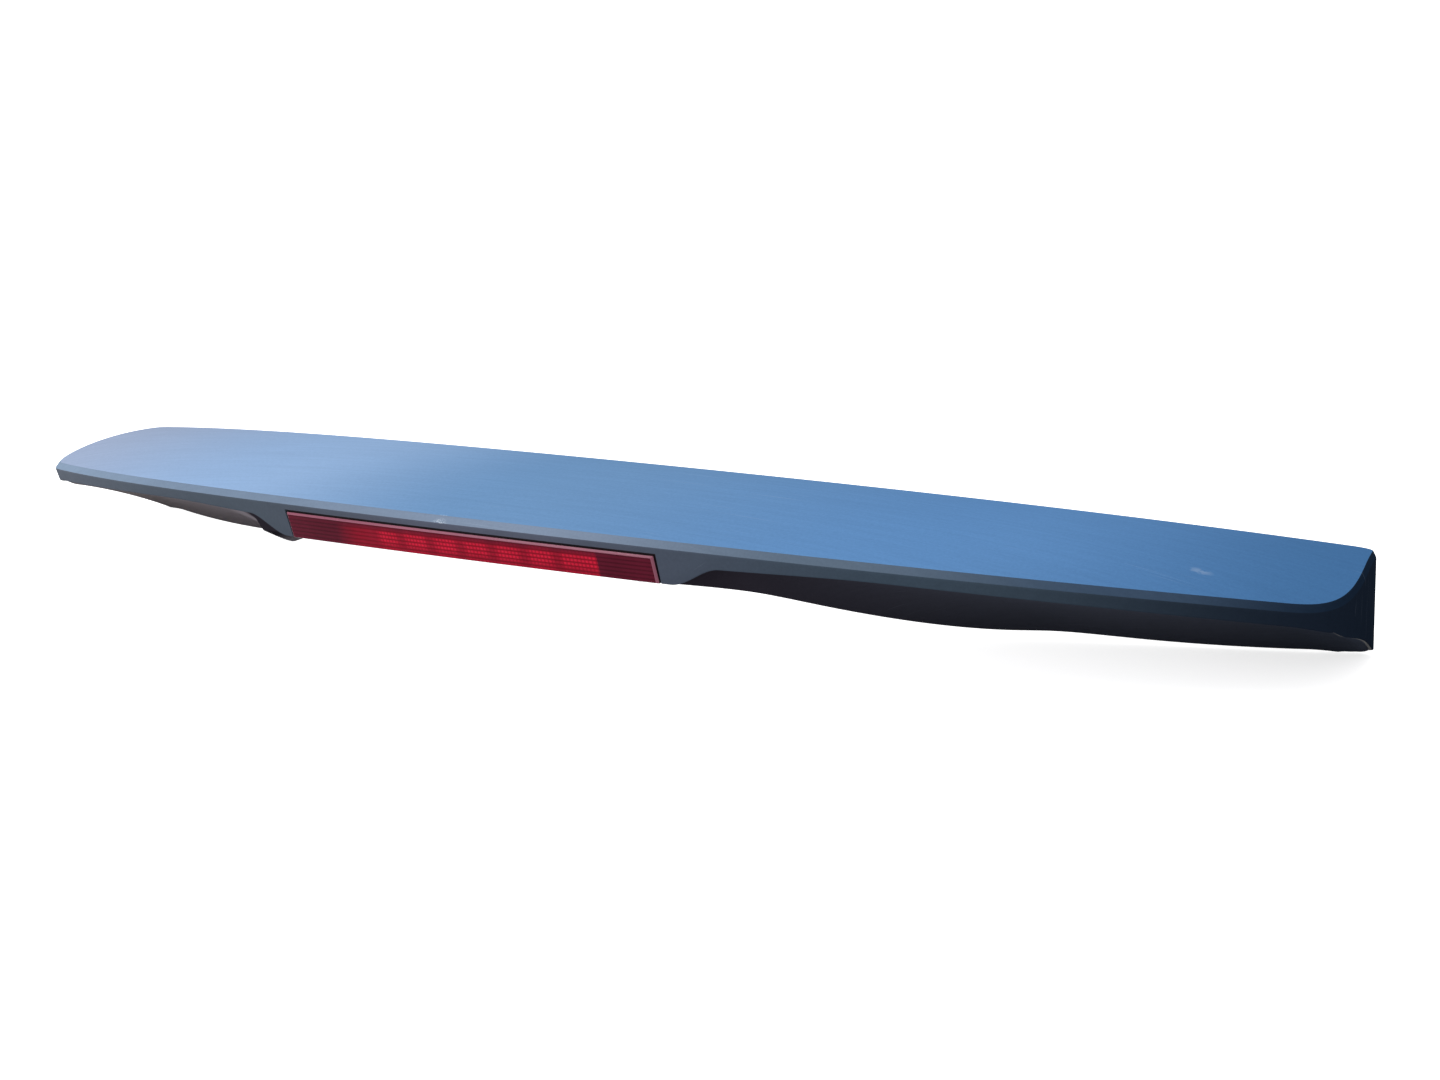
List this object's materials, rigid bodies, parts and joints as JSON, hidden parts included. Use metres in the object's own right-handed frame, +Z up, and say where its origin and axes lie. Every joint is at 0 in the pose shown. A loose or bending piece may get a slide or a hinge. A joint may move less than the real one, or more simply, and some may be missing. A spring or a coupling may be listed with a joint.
{
  "type": "car rear spoiler",
  "caption": "Swept trunk-lid wing with a thin rear lip, hollow underside and a narrow stop lamp in its centre.",
  "frame": {"origin": "middle between the two inner mounting studs, in the plane of their seats", "axes": "+X along the width, +Y forward along the studs, from the trailing lip with the stop lamp to the front wall, +Z up"},
  "size_m": [1.1534, 0.2578, 0.1084],
  "materials": {
    "paint": "blue clear-coated paint",
    "dark_shell": "dark satin",
    "lens": "red, clear, fluted",
    "foam": "matte foam",
    "black_plastic": "matte",
    "bright": "bright metallised",
    "board": "solder mask",
    "led": "satin",
    "brass": "machined",
    "steel": "zinc plated",
    "rubber": "matte"
  },
  "bodies": {
    "root": {"upper_skin": "paint", "lower_shell": "dark_shell", "lamp_lens": "lens", "lamp_gasket": "foam", "lamp_housing": "black_plastic", "lamp_reflector": "bright", "led_board": "board", "leds": "led", "board_socket": "black_plastic", "socket_pins": "brass", "lamp_screws": "steel", "mounting_studs": "steel", "stud_inserts": "brass", "stud_seals": "foam", "wire_grommet": "rubber", "edge_seal": "rubber", "rest_pads": "rubber"}
  },
  "joints": []
}
